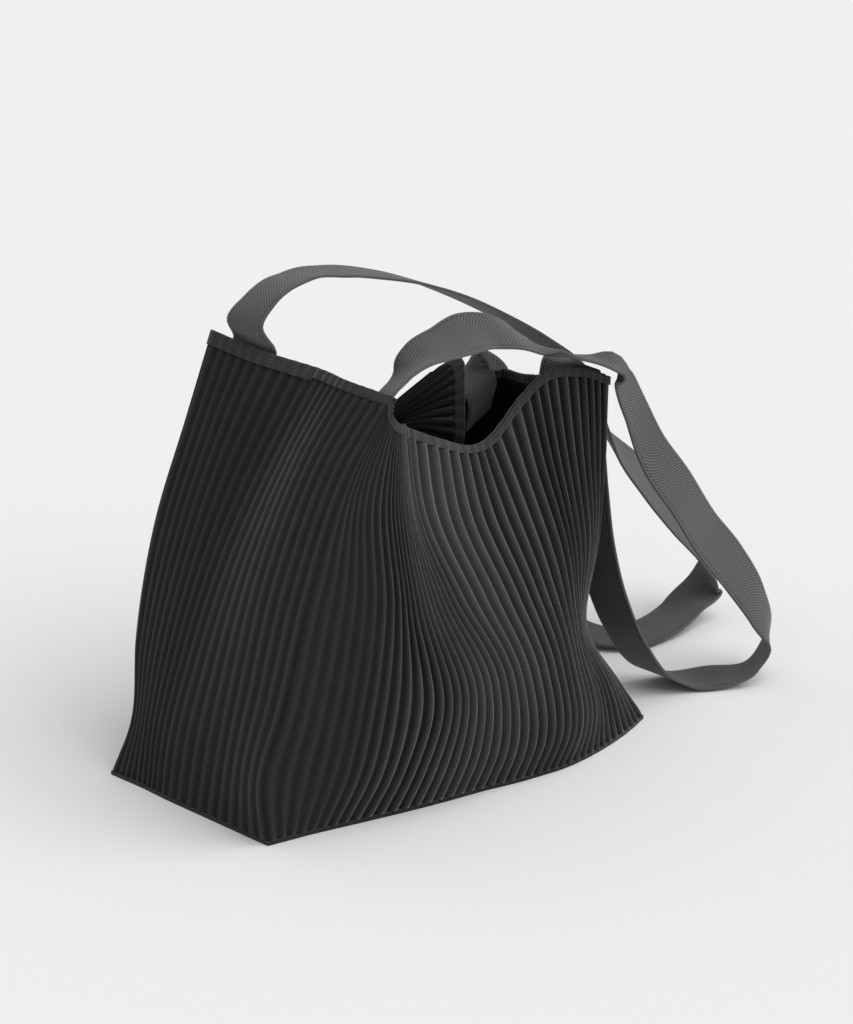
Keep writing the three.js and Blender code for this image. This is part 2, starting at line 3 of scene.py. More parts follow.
import bmesh
import bpy
import numpy as np
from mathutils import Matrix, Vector


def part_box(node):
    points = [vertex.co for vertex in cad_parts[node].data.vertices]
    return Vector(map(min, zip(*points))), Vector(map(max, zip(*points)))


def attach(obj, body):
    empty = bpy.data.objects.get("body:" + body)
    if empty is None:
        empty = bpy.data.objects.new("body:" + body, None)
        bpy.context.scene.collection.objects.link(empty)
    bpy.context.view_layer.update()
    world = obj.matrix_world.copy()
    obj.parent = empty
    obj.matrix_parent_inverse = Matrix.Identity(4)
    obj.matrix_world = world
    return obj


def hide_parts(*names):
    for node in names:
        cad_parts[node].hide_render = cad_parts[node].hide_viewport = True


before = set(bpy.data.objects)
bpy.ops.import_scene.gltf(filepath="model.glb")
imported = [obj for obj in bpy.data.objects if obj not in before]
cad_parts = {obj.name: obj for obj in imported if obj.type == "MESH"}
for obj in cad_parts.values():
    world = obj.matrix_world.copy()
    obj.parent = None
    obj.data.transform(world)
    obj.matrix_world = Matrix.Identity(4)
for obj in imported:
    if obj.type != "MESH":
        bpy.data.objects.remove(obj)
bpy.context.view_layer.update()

bl_info = {
    "name": "Pleated shopper bag",
    "version": (1, 0, 0),
    "blender": (4, 5, 0),
    "location": "View3D > Sidebar > Bag",
    "description": "Slumped shopper bag of pleated cloth with two webbing straps",
    "category": "Add Mesh",
}

# The form of the cloth, a row for each guide pleat. Place counts pleats round the bag from the left
# side seam. x, y and z are shares of the base length, base depth and bag height at these levels.
LEVELS = (0, 0.12, 0.3, 0.55, 0.8, 1)
PLACES_ROUND = 124
GUIDES = (
    dict(name="left seam", place=0, x=(-0.5, -0.48, -0.43, -0.35, -0.255, -0.2),
         y=(0.14, 0.14, 0.13, 0.1, 0.03, -0.1), z=(0, 0.125, 0.305, 0.545, 0.78, 0.97)),
    dict(name="left side, front half", place=5, x=(-0.5, -0.49, -0.46, -0.4, -0.31, -0.205),
         y=(-0.17, -0.195, -0.22, -0.24, -0.28, -0.31), z=(0, 0.13, 0.31, 0.56, 0.8, 0.965)),
    dict(name="front left corner", place=10, corner=True, x=(-0.5, -0.52, -0.485, -0.42, -0.312, -0.173),
         y=(-0.5, -0.52, -0.57, -0.585, -0.55, -0.49), z=(0, 0.13, 0.315, 0.575, 0.805, 0.945)),
    dict(name="lit front edge", place=14, x=(-0.41, -0.39, -0.365, -0.325, -0.29, -0.195),
         y=(-0.52, -0.57, -0.62, -0.63, -0.58, -0.53), z=(0, 0.11, 0.28, 0.525, 0.765, 0.92)),
    dict(name="gathered top, left", place=18, x=(-0.315, -0.29, -0.275, -0.25, -0.24, -0.19),
         y=(-0.555, -0.625, -0.69, -0.68, -0.61, -0.54), z=(0, 0.1, 0.265, 0.5, 0.73, 0.9)),
    dict(name="gathered top, middle", place=22, x=(-0.205, -0.19, -0.18, -0.205, -0.21, -0.175),
         y=(-0.595, -0.67, -0.755, -0.7, -0.62, -0.535), z=(0, 0.1, 0.26, 0.49, 0.72, 0.89)),
    dict(name="gathered top, right", place=26, x=(-0.1, -0.09, -0.095, -0.145, -0.185, -0.16),
         y=(-0.625, -0.7, -0.76, -0.66, -0.605, -0.515), z=(0, 0.105, 0.27, 0.485, 0.71, 0.885)),
    dict(name="belly, left", place=30, x=(0, 0.01, 0.005, -0.07, -0.14, -0.135),
         y=(-0.645, -0.71, -0.71, -0.62, -0.555, -0.48), z=(0, 0.1, 0.265, 0.47, 0.685, 0.865)),
    dict(name="dent, left", place=33, x=(0.07, 0.085, 0.085, 0.03, -0.03, -0.035),
         y=(-0.67, -0.715, -0.68, -0.585, -0.5, -0.435), z=(0, 0.095, 0.245, 0.44, 0.64, 0.81)),
    dict(name="dent, lowest hem", place=36, x=(0.135, 0.155, 0.17, 0.135, 0.085, 0.07),
         y=(-0.68, -0.72, -0.645, -0.54, -0.44, -0.37), z=(0, 0.09, 0.23, 0.415, 0.605, 0.76)),
    dict(name="dent, right", place=39, x=(0.195, 0.225, 0.24, 0.225, 0.185, 0.145),
         y=(-0.685, -0.695, -0.605, -0.49, -0.395, -0.335), z=(0, 0.085, 0.225, 0.415, 0.605, 0.76)),
    dict(name="rise to the right", place=42, x=(0.265, 0.295, 0.293, 0.297, 0.265, 0.235),
         y=(-0.665, -0.63, -0.535, -0.445, -0.355, -0.315), z=(0, 0.09, 0.24, 0.455, 0.665, 0.83)),
    dict(name="waist, left", place=45, x=(0.335, 0.34, 0.328, 0.337, 0.32, 0.297),
         y=(-0.63, -0.58, -0.49, -0.43, -0.365, -0.34), z=(0, 0.1, 0.25, 0.475, 0.697, 0.88)),
    dict(name="waist, right", place=48, x=(0.41, 0.388, 0.35, 0.385, 0.38, 0.37),
         y=(-0.58, -0.545, -0.455, -0.41, -0.38, -0.37), z=(0, 0.1, 0.245, 0.465, 0.69, 0.875)),
    dict(name="front right corner", place=52, corner=True, x=(0.5, 0.45, 0.388, 0.425, 0.44, 0.43),
         y=(-0.5, -0.45, -0.385, -0.375, -0.39, -0.42), z=(0, 0.09, 0.225, 0.445, 0.67, 0.845)),
    dict(name="right side, front half", place=57, x=(0.5, 0.465, 0.42, 0.43, 0.43, 0.425),
         y=(-0.26, -0.24, -0.2, -0.17, -0.18, -0.22), z=(0, 0.1, 0.25, 0.46, 0.66, 0.815)),
    dict(name="right seam", place=62, x=(0.5, 0.475, 0.44, 0.42, 0.41, 0.4),
         y=(0, 0, 0.01, 0.01, -0.01, -0.03), z=(0, 0.11, 0.27, 0.475, 0.665, 0.807)),
    dict(name="right side, back half", place=67, x=(0.5, 0.475, 0.45, 0.44, 0.435, 0.43),
         y=(0.26, 0.26, 0.245, 0.21, 0.16, 0.12), z=(0, 0.11, 0.27, 0.47, 0.655, 0.785)),
    dict(name="back right corner", place=72, corner=True, x=(0.5, 0.475, 0.46, 0.465, 0.46, 0.45),
         y=(0.5, 0.49, 0.465, 0.4, 0.33, 0.26), z=(0, 0.11, 0.28, 0.48, 0.655, 0.775)),
    dict(name="back, near the right", place=75, x=(0.44, 0.422, 0.412, 0.412, 0.392, 0.385),
         y=(0.5, 0.505, 0.493, 0.415, 0.32, 0.25), z=(0, 0.11, 0.28, 0.48, 0.65, 0.775)),
    dict(name="back, beside the flop", place=78, x=(0.38, 0.37, 0.365, 0.36, 0.325, 0.32),
         y=(0.5, 0.52, 0.52, 0.43, 0.31, 0.23), z=(0, 0.11, 0.28, 0.48, 0.637, 0.735)),
    dict(name="flop, low end of hem", place=84, x=(0.24, 0.235, 0.24, 0.225, 0.09, 0.22),
         y=(0.5, 0.53, 0.54, 0.42, 0.065, 0), z=(0, 0.11, 0.28, 0.49, 0.735, 0.68)),
    dict(name="flop, middle", place=88, x=(0.145, 0.145, 0.16, 0.16, 0.065, 0.24),
         y=(0.5, 0.535, 0.555, 0.43, 0.06, 0.04), z=(0, 0.11, 0.28, 0.51, 0.755, 0.78)),
    dict(name="flop, high end of hem", place=92, x=(0.05, 0.055, 0.075, 0.09, 0.05, 0.25),
         y=(0.5, 0.54, 0.57, 0.45, 0.065, 0.09), z=(0, 0.11, 0.28, 0.53, 0.775, 0.87)),
    dict(name="back, behind the flop", place=98, x=(-0.095, -0.075, -0.045, 0, 0.03, 0.12),
         y=(0.5, 0.54, 0.57, 0.5, 0.24, 0.2), z=(0, 0.11, 0.28, 0.535, 0.715, 0.75)),
    dict(name="back, low hem", place=104, x=(-0.25, -0.225, -0.18, -0.115, -0.05, 0),
         y=(0.5, 0.54, 0.57, 0.54, 0.39, 0.32), z=(0, 0.11, 0.28, 0.53, 0.69, 0.73)),
    dict(name="back, left", place=109, x=(-0.375, -0.345, -0.3, -0.24, -0.165, -0.12),
         y=(0.5, 0.53, 0.56, 0.555, 0.49, 0.44), z=(0, 0.11, 0.285, 0.535, 0.735, 0.83)),
    dict(name="back left corner", place=114, corner=True, x=(-0.5, -0.447, -0.42, -0.365, -0.29, -0.228),
         y=(0.5, 0.51, 0.54, 0.55, 0.52, 0.5), z=(0, 0.105, 0.293, 0.55, 0.797, 0.993)),
    dict(name="left side, back half", place=119, x=(-0.497, -0.475, -0.434, -0.36, -0.275, -0.206),
         y=(0.32, 0.33, 0.34, 0.335, 0.3, 0.245), z=(0, 0.118, 0.296, 0.543, 0.786, 0.971)),
)

# Strap routes, in shares of the base length, base depth and bag height: the middle of the webbing
# and the direction of its width
FRONT_ROUTE = (
    ("above the front left corner", (-0.103, -0.361, 0.963), (0.49, 0.84, -0.18)),
    ("arch, rising", (-0.074, -0.365, 0.989), (0.4, 0.91, -0.05)),
    ("arch, bend", (-0.033, -0.355, 1.006), (0.2, 0.96, 0.08)),
    ("arch, near the top", (0.05, -0.325, 1.014), (0, 0.97, 0.22)),
    ("arch, top", (0.141, -0.285, 1.013), (0.1, 0.93, 0.4)),
    ("arch, past the top", (0.2, -0.3, 0.998), (0.1, 0.93, 0.36)),
    ("arch, falling", (0.2725, -0.29, 0.957), (0.05, 0.96, 0.2)),
    ("arch, edge on", (0.301, -0.297, 0.938), (0, 0.99, -0.05)),
    ("edge on above the front hem", (0.33, -0.319, 0.918), (0.02, 0.99, -0.14)),
    ("flat above the hem", (0.379, -0.335, 0.899), (0.05, 0.99, -0.1)),
    ("flat, towards the corner", (0.437, -0.348, 0.876), (0.25, 0.96, 0)),
    ("fold at the corner", (0.478, -0.368, 0.857), (0.75, 0.64, 0.03)),
    ("under the fold", (0.487, -0.387, 0.822), (0.8, 0.55, 0.2)),
    ("below the fold", (0.509, -0.41, 0.755), (0.77, 0.5, 0.35)),
    ("wide face, near the corner", (0.537, -0.455, 0.655), (0.74, 0.42, 0.5)),
    ("wide face, high", (0.613, -0.47, 0.536), (0.74, 0.39, 0.55)),
    ("wide face, middle", (0.7, -0.458, 0.404), (0.74, 0.39, 0.55)),
    ("wide face, low", (0.787, -0.452, 0.293), (0.74, 0.39, 0.55)),
    ("loop turn, high", (0.85, -0.471, 0.182), (0.73, 0.5, 0.45)),
    ("loop turn, middle", (0.872, -0.497, 0.094), (0.7, 0.68, 0.2)),
    ("loop turn, low", (0.84, -0.47, 0.032), (0.62, 0.7, -0.1)),
    ("end of the floor run", (0.769, -0.4, 0.013), (0.3, 0.95, 0)),
    ("on the floor", (0.703, -0.323, 0.012), (0.1, 1, 0)),
    ("meeting the floor", (0.634, -0.277, 0.05), (0, 1, 0)),
    ("towards the floor", (0.572, -0.24, 0.152), (0, 1, 0)),
    ("leaving the side", (0.535, -0.2, 0.27), (0, 1, 0)),
    ("hanging, low", (0.51, -0.175, 0.4), (0, 1, 0)),
    ("hanging, middle", (0.495, -0.16, 0.55), (0, 1, 0)),
    ("hanging, high", (0.475, -0.17, 0.7), (0, 1, 0)),
    ("outside the right hem", (0.455, -0.185, 0.79), (0, 1, 0)),
)

# Where the straps are sewn: the place on the hem, and how the front strap's first end stands there
FRONT_START = dict(place=11, up=(0.35, 0, 0.94), across=(0.49, 0.84, -0.18))
FRONT_END = dict(place=57.5, over_hem=True)
BACK_START = dict(place=118)
BACK_END = dict(place=76.8, over_hem=True)

BACK_ROUTE = (
    ("above the left side", (-0.215, 0.32, 1.04), (0.1, 1, 0)),
    ("arch, rising", (-0.18, 0.32, 1.08), (0.3, 0.95, 0)),
    ("arch, bend", (-0.137, 0.323, 1.105), (0.45, 0.9, 0)),
    ("arch, top", (-0.073, 0.323, 1.118), (0.5, 0.85, -0.1)),
    ("arch, past the top", (0.018, 0.323, 1.108), (0.45, 0.85, -0.1)),
    ("arch, falling", (0.115, 0.323, 1.083), (0.4, 0.9, -0.1)),
    ("arch, middle", (0.208, 0.297, 1.05), (0.3, 0.93, -0.12)),
    ("arch, turning edge on", (0.305, 0.245, 1), (0.25, 0.93, -0.16)),
    ("arch, edge on", (0.387, 0.18, 0.945), (0.25, 0.93, -0.16)),
    ("over the right side", (0.458, 0.09, 0.885), (0.25, 0.93, -0.16)),
    ("turn downwards", (0.533, 0.026, 0.805), (0.25, 0.93, -0.16)),
    ("hanging, high", (0.592, 0.039, 0.685), (0.3, 0.9, 0)),
    ("hanging, middle", (0.67, 0.065, 0.567), (0.5, 0.8, 0.2)),
    ("hanging, low", (0.773, 0.103, 0.458), (0.6, 0.7, 0.4)),
    ("reaching out", (0.902, 0.155, 0.32), (0.6, 0.6, 0.45)),
    ("loop turn, high", (1.02, 0.2, 0.195), (0.6, 0.6, 0.45)),
    ("loop turn, middle", (1.063, 0.232, 0.13), (0.5, 0.7, 0.4)),
    ("loop turn, low", (1.065, 0.271, 0.079), (0.3, 0.9, 0.2)),
    ("towards the floor", (0.987, 0.252, 0.038), (0.3, 0.95, 0)),
    ("on the floor", (0.873, 0.213, 0.014), (0.3, 0.95, 0)),
    ("turning behind the bag", (0.781, 0.219, 0.014), (0.5, 0.85, 0)),
    ("behind the bag, low", (0.72, 0.4, 0.03), (0.9, 0.4, 0)),
    ("rising behind the bag", (0.625, 0.59, 0.16), (0.9, 0.1, 0.3)),
    ("behind the back corner", (0.55, 0.62, 0.45), (0.9, 0, 0.1)),
    ("below the back hem", (0.495, 0.46, 0.7), (0.9, 0.2, 0)),
)


class BagSizes(bpy.types.PropertyGroup):
    base_length: bpy.props.FloatProperty(
        name="Base length", description="Base panel, left to right", default=0.32, unit="LENGTH")
    base_depth: bpy.props.FloatProperty(
        name="Base depth", description="Base panel, front to back", default=0.155, unit="LENGTH")
    bag_height: bpy.props.FloatProperty(
        name="Bag height", description="Base panel to the highest corner of the mouth",
        default=0.277, unit="LENGTH")
    foot: bpy.props.FloatProperty(
        name="Foot of the cloth", description="Height at which the cloth walls start",
        default=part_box("front_panel")[0][2], unit="LENGTH")
    pleat_side: bpy.props.FloatProperty(
        name="Pleat side", description="Cloth from the ridge of a pleat to its valley",
        default=0.0052, unit="LENGTH")
    shallow_pleat: bpy.props.FloatProperty(
        name="Shallow pleat", description="Ridge to valley where the cloth is pulled open",
        default=0.0026, unit="LENGTH")
    steepest_pleat: bpy.props.FloatProperty(
        name="Steepest pleat", description="Rise over run of a pleat's side", default=1.7)
    cloth_wall: bpy.props.FloatProperty(
        name="Cloth wall", description="Thickness of the pleated cloth",
        default=0.0011, unit="LENGTH")
    hem_height: bpy.props.FloatProperty(
        name="Hem height", description="Height of the bound edge round the mouth",
        default=0.006, unit="LENGTH")
    hem_thickness: bpy.props.FloatProperty(
        name="Hem thickness", description="Thickness of the bound edge",
        default=0.0024, unit="LENGTH")
    strap_width: bpy.props.FloatProperty(
        name="Strap width", description="Width of the webbing", default=0.038, unit="LENGTH")
    strap_thickness: bpy.props.FloatProperty(
        name="Strap thickness", description="Thickness of the webbing",
        default=0.0016, unit="LENGTH")
    strap_tail: bpy.props.FloatProperty(
        name="Strap tail", description="Webbing sewn inside the mouth",
        default=0.022, unit="LENGTH")
    cad_shallow_pleat: bpy.props.FloatProperty(
        name="Solid shallow pleat",
        description="Shallow pleat of the solids, which the straps stay clear of",
        default=0.0008, unit="LENGTH")
    cad_wall: bpy.props.FloatProperty(
        name="Solid wall",
        description="Thickness of the cloth in the solids, which the straps stay clear of",
        default=0.0015, unit="LENGTH")
    strap_fold: bpy.props.FloatProperty(
        name="Strap fold", description="Height of a strap's fold over the hem",
        default=0.003, unit="LENGTH")
    gap: bpy.props.FloatProperty(
        name="Gap", description="Between pieces that touch", default=0.0003, unit="LENGTH")
    seat_margin: bpy.props.FloatProperty(
        name="Seat margin", description="Cloth this close beside a strap counts as in its way",
        default=0.002, unit="LENGTH")


class BagColours(bpy.types.PropertyGroup):
    cloth: bpy.props.FloatVectorProperty(
        name="Cloth", description="Pleated cloth", subtype="COLOR", size=3,
        default=(0.033, 0.033, 0.0365))
    base: bpy.props.FloatVectorProperty(
        name="Base", description="Cloth of the base panel", subtype="COLOR", size=3,
        default=(0.012, 0.012, 0.014))
    webbing: bpy.props.FloatVectorProperty(
        name="Webbing", description="Shoulder straps", subtype="COLOR", size=3,
        default=(0.066, 0.066, 0.071))
    floor: bpy.props.FloatVectorProperty(
        name="Floor", description="Pale surface and backdrop", subtype="COLOR", size=3,
        default=(0.83, 0.83, 0.83))


def sizes():
    return bpy.context.scene.bag_sizes


# Smooth curves through table values, for whole arrays at once

def cubic(t, before, after, value_before, value_after, slope_before, slope_after):
    span = after - before
    s = (t - before) / span
    keep = (2 * s - 3) * s * s + 1
    return (keep * value_before + (1 - keep) * value_after
            + s * (s - 1) ** 2 * span * slope_before + s * s * (s - 1) * span * slope_after)


def blended(slope_before, slope_after, span_before, span_after):
    return (slope_before * span_after + slope_after * span_before) / (span_before + span_after)


def along_curve(places, values, t):
    """values has a row for each place, and t any number of places between the first and the last."""
    places, values, t = np.asarray(places, float), np.asarray(values, float), np.asarray(t, float)
    spans = np.diff(places)
    chords = np.diff(values, axis=0) / spans.reshape((-1,) + (1,) * (values.ndim - 1))
    slopes = np.empty_like(values)
    slopes[0], slopes[-1] = chords[0], chords[-1]
    for i in range(1, len(places) - 1):
        slopes[i] = blended(chords[i - 1], chords[i], spans[i - 1], spans[i])
    k = np.clip(np.searchsorted(places, t, side="right") - 1, 0, len(places) - 2)
    shape = (-1,) + (1,) * (values.ndim - 1)
    return cubic(t.reshape(shape), places[k].reshape(shape), places[k + 1].reshape(shape),
                 values[k], values[k + 1], slopes[k], slopes[k + 1])


def guide_table(place):
    """Shares of x, y and z at each level, for any places round the bag."""
    place = np.mod(np.asarray(place, float), PLACES_ROUND)
    spots = np.array([g["place"] for g in GUIDES], float)
    values = np.array([[g["x"], g["y"], g["z"]] for g in GUIDES], float)
    corner = np.array([bool(g.get("corner")) for g in GUIDES])
    n = len(GUIDES)
    k = np.searchsorted(spots, place, side="right") - 1

    def row(i):
        turns = np.floor_divide(i, n)
        return i - turns * n, spots[i - turns * n] + turns * PLACES_ROUND

    (a, pa), (b, pb), (c, pc), (d, pd) = (row(k + i) for i in (-1, 0, 1, 2))
    wide = (slice(None), None, None)
    s0 = (values[b] - values[a]) / (pb - pa)[wide]
    s1 = (values[c] - values[b]) / (pc - pb)[wide]
    s2 = (values[d] - values[c]) / (pd - pc)[wide]
    leaving = np.where(corner[b][wide], s1, blended(s0, s1, (pb - pa)[wide], (pc - pb)[wide]))
    arriving = np.where(corner[c][wide], s1, blended(s1, s2, (pc - pb)[wide], (pd - pc)[wide]))
    return cubic(place[wide], pb[wide], pc[wide], values[b], values[c], leaving, arriving)


def cloth_points(place, level):
    """Middle of the cloth: an array of (places, levels, 3) in metres."""
    s = sizes()
    table = guide_table(place)
    points = along_curve(LEVELS, np.moveaxis(table, 2, 0), level)
    points = np.moveaxis(points, 0, 1) * (s.base_length, s.base_depth, s.bag_height)
    points[..., 2] += s.foot
    return points


def unit(v):
    return v / np.maximum(np.linalg.norm(v, axis=-1, keepdims=True), 1e-12)


def cloth_frame(place, level):
    """Points, directions out of the bag and up the pleats, and the room that one pleat has."""
    place, level = np.asarray(place, float), np.asarray(level, float)
    reach = 0.02
    along = cloth_points(place + 0.5, level) - cloth_points(place - 0.5, level)
    low, high = np.maximum(level - reach, 0), np.minimum(level + reach, 1)
    up = (cloth_points(place, high) - cloth_points(place, low)) / (high - low)[None, :, None]
    out = np.cross(along, up)
    room = np.linalg.norm(out, axis=-1) / np.linalg.norm(up, axis=-1)
    out = unit(out)
    foot = level == 0
    out[:, foot, 2] = 0
    out = unit(out)
    return cloth_points(place, level), out, up, room


def pleat_depth(room, shallow=None):
    s = sizes()
    shallow = s.shallow_pleat if shallow is None else shallow
    half = room / 2
    folded = np.sqrt(np.maximum(s.pleat_side ** 2 - half ** 2, 0))
    return np.minimum(np.maximum(folded, shallow), s.steepest_pleat * half)


# Meshes

def sheet_mesh(name, grid, wall, uv, tone=None):
    """One sheet of cloth from a grid of points, its uv in metres of cloth, given a wall inwards."""
    columns, rows = grid.shape[:2]
    bm = bmesh.new()
    bmesh.ops.create_grid(bm, x_segments=columns - 1, y_segments=rows - 1, size=1, calc_uvs=False)
    bm.verts.ensure_lookup_table()
    xs = np.array([v.co.x for v in bm.verts])
    ys = np.array([v.co.y for v in bm.verts])
    col = np.rint((xs + 1) / 2 * (columns - 1)).astype(int)
    lin = np.rint((ys + 1) / 2 * (rows - 1)).astype(int)
    mesh = bpy.data.meshes.new(name)
    bm.to_mesh(mesh)
    bm.free()
    mesh.vertices.foreach_set("co", grid[col, lin].astype(np.float32).ravel())
    layer = mesh.uv_layers.new(name="cloth")
    corners = np.empty(len(mesh.loops), np.int32)
    mesh.loops.foreach_get("vertex_index", corners)
    layer.data.foreach_set("uv", uv[col, lin][corners].astype(np.float32).ravel())
    if tone is not None:
        mark = mesh.attributes.new(name="ridge", type="FLOAT", domain="POINT")
        mark.data.foreach_set("value", tone[col, lin].astype(np.float32).ravel())
    mesh.polygons.foreach_set("use_smooth", np.ones(len(mesh.polygons), bool))
    mesh.update()
    piece = bpy.data.objects.new(name, mesh)
    bpy.context.scene.collection.objects.link(piece)
    skin = piece.modifiers.new("wall", "SOLIDIFY")
    skin.thickness = wall
    skin.offset = -1
    skin.use_even_offset = False
    skin.use_rim = True
    return piece


def dress(piece, node, material):
    piece.data.materials.append(material)
    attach(piece, "root")
    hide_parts(node)


# Finishes

class Nodes:
    """Short way to add and wire shader nodes."""

    def __init__(self, name):
        self.material = bpy.data.materials.new(name)
        self.material.use_nodes = True
        self.tree = self.material.node_tree
        self.shader = self.tree.nodes["Principled BSDF"]

    def add(self, kind, inputs=None, **settings):
        node = self.tree.nodes.new("ShaderNode" + kind)
        for key, value in settings.items():
            setattr(node, key, value)
        for key, value in (inputs or {}).items():
            if isinstance(value, bpy.types.NodeSocket):
                self.tree.links.new(value, node.inputs[key])
            else:
                node.inputs[key].default_value = value
        return node

    def maths(self, operation, a, b=0.5):
        return self.add("Math", {0: a, 1: b}, operation=operation).outputs[0]

    def blend(self, amount, a, b):
        node = self.add("Mix", data_type="RGBA")
        for key, value in ((0, amount), (6, a), (7, b)):
            if isinstance(value, bpy.types.NodeSocket):
                self.tree.links.new(value, node.inputs[key])
            else:
                node.inputs[key].default_value = value
        return node.outputs[2]

    def link(self, socket, name):
        self.tree.links.new(socket, self.shader.inputs[name])


def shade(colour, amount):
    return tuple(c * amount for c in colour) + (1,)


def pleated_cloth_finish(name, colour):
    """Matte rib knit: fine rows of stitches, painted shade in the dark valleys, and lighter ridges that are
    partly wear and partly painted light.
    """
    n = Nodes(name)
    uv = n.add("UVMap", uv_map="cloth").outputs[0]
    ridge = n.add("Attribute", attribute_name="ridge").outputs["Fac"]
    place = n.add("TexCoord").outputs["Object"]
    stitches = n.add("Mapping", {0: uv, "Scale": (900, 620, 1)}).outputs[0]
    loops = n.add("TexVoronoi", {"Vector": stitches, "Scale": 1, "Randomness": 0.55}).outputs["Distance"]
    wales = n.add("TexWave", {"Vector": uv, "Scale": 260, "Distortion": 0.6, "Detail": 1,
                              "Detail Scale": 3},
                  wave_type="BANDS", bands_direction="X").outputs["Fac"]
    drawn_out = n.add("Mapping", {0: uv, "Scale": (420, 28, 1)}).outputs[0]
    streaks = n.add("TexNoise", {"Vector": drawn_out, "Scale": 1, "Detail": 4,
                                 "Roughness": 0.6}).outputs["Fac"]
    clouds = n.add("TexNoise", {"Vector": place, "Scale": 16, "Detail": 3}).outputs["Fac"]
    fuzz = n.add("TexNoise", {"Vector": place, "Scale": 1900, "Detail": 2}).outputs["Fac"]
    # the ridge mask paints shade into the pleat valleys and lightens the ridges, partly as wear and partly as
    # painted light
    edge = n.add("MapRange", {0: ridge, 1: 0.05, 2: 0.95, 3: 0, 4: 1}, clamp=True).outputs[0]
    tone = n.blend(edge, shade(colour, 0.12), shade(colour, 1.35))
    tone = n.blend(n.maths("MULTIPLY", streaks, 0.35), tone, shade(colour, 1.6))
    tone = n.blend(n.maths("MULTIPLY", clouds, 0.3), tone, shade(colour, 0.55))
    tone = n.blend(n.maths("MULTIPLY", loops, 0.45), tone, shade(colour, 0.35))
    n.link(tone, "Base Color")
    rough = n.add("MapRange", {0: fuzz, 1: 0, 2: 1, 3: 0.78, 4: 0.95}).outputs[0]
    n.link(rough, "Roughness")
    height = n.maths("ADD", n.maths("MULTIPLY", loops, -0.9), n.maths("MULTIPLY", wales, 0.35))
    height = n.maths("ADD", height, n.maths("MULTIPLY", fuzz, 0.5))
    bump = n.add("Bump", {"Strength": 0.55, "Distance": 0.0004, "Height": height}).outputs[0]
    n.link(bump, "Normal")
    # specular and sheen follow the ridge mask, so the valleys lose their sheen as painted shade
    n.link(n.maths("MULTIPLY", edge, 0.3), "Specular IOR Level")
    n.link(n.maths("MULTIPLY", edge, 0.55), "Sheen Weight")
    n.shader.inputs["Sheen Roughness"].default_value = 0.45
    n.shader.inputs["Sheen Tint"].default_value = (0.75, 0.75, 0.82, 1)
    return n.material


# Webbing details in metres from its edge: where the plain selvedge ends, and the line of stitching
SELVEDGE = (0.0011, 0.0019)
SEAM_INSET = 0.0026
SEAM_WIDTH = (0.0003, 0.0007)
STITCH_SCALE = 85


def webbing_finish(name, colour, width):
    """Flat webbing in a fine twill with a plain selvedge and a row of stitching by each edge."""
    n = Nodes(name)
    uv = n.add("UVMap", uv_map="cloth").outputs[0]
    place = n.add("TexCoord").outputs["Object"]
    apart = n.add("SeparateXYZ", {0: uv})
    across = apart.outputs[0]
    twill = n.add("Mapping", {0: uv, "Rotation": (0, 0, math.radians(52))}).outputs[0]
    lines = n.add("TexWave", {"Vector": twill, "Scale": 175, "Distortion": 0.5, "Detail": 1,
                              "Detail Scale": 4},
                  wave_type="BANDS", bands_direction="X").outputs["Fac"]
    yarns = n.add("TexWave", {"Vector": uv, "Scale": 420, "Distortion": 0.4, "Detail": 1},
                  wave_type="BANDS", bands_direction="Y").outputs["Fac"]
    clouds = n.add("TexNoise", {"Vector": place, "Scale": 30, "Detail": 3}).outputs["Fac"]
    fuzz = n.add("TexNoise", {"Vector": place, "Scale": 2200, "Detail": 2}).outputs["Fac"]
    inset = n.maths("SUBTRACT", 0.5 * width, n.maths("ABSOLUTE", across))
    selvedge = n.add("MapRange", {0: inset, 1: SELVEDGE[0], 2: SELVEDGE[1], 3: 1, 4: 0},
                     clamp=True).outputs[0]
    tone = n.blend(lines, shade(colour, 0.35), shade(colour, 1.7))
    tone = n.blend(n.maths("MULTIPLY", yarns, 0.25), tone, shade(colour, 0.5))
    tone = n.blend(n.maths("MULTIPLY", clouds, 0.35), tone, shade(colour, 0.7))
    tone = n.blend(n.maths("MULTIPLY", selvedge, 0.7), tone, shade(colour, 1.25))
    from_seam = n.maths("ABSOLUTE", n.maths("SUBTRACT", inset, SEAM_INSET))
    seam = n.add("MapRange", {0: from_seam, 1: SEAM_WIDTH[0], 2: SEAM_WIDTH[1], 3: 1, 4: 0},
                 clamp=True).outputs[0]
    dashes = n.add("TexWave", {"Vector": uv, "Scale": STITCH_SCALE},
                   wave_type="BANDS", bands_direction="Y").outputs["Fac"]
    dashes = n.add("MapRange", {0: dashes, 1: 0.3, 2: 0.5, 3: 0, 4: 1}, clamp=True).outputs[0]
    tone = n.blend(n.maths("MULTIPLY", seam, dashes), tone, shade(colour, 0.2))
    n.link(tone, "Base Color")
    rough = n.add("MapRange", {0: fuzz, 1: 0, 2: 1, 3: 0.62, 4: 0.86}).outputs[0]
    n.link(rough, "Roughness")
    height = n.maths("ADD", n.maths("MULTIPLY", lines, 0.8), n.maths("MULTIPLY", yarns, 0.5))
    height = n.maths("ADD", height, n.maths("MULTIPLY", fuzz, 0.3))
    bump = n.add("Bump", {"Strength": 0.5, "Distance": 0.00035, "Height": height}).outputs[0]
    n.link(bump, "Normal")
    n.shader.inputs["Specular IOR Level"].default_value = 0.35
    n.shader.inputs["Sheen Weight"].default_value = 0.3
    n.shader.inputs["Sheen Roughness"].default_value = 0.4
    n.shader.inputs["Sheen Tint"].default_value = (0.8, 0.8, 0.85, 1)
    return n.material


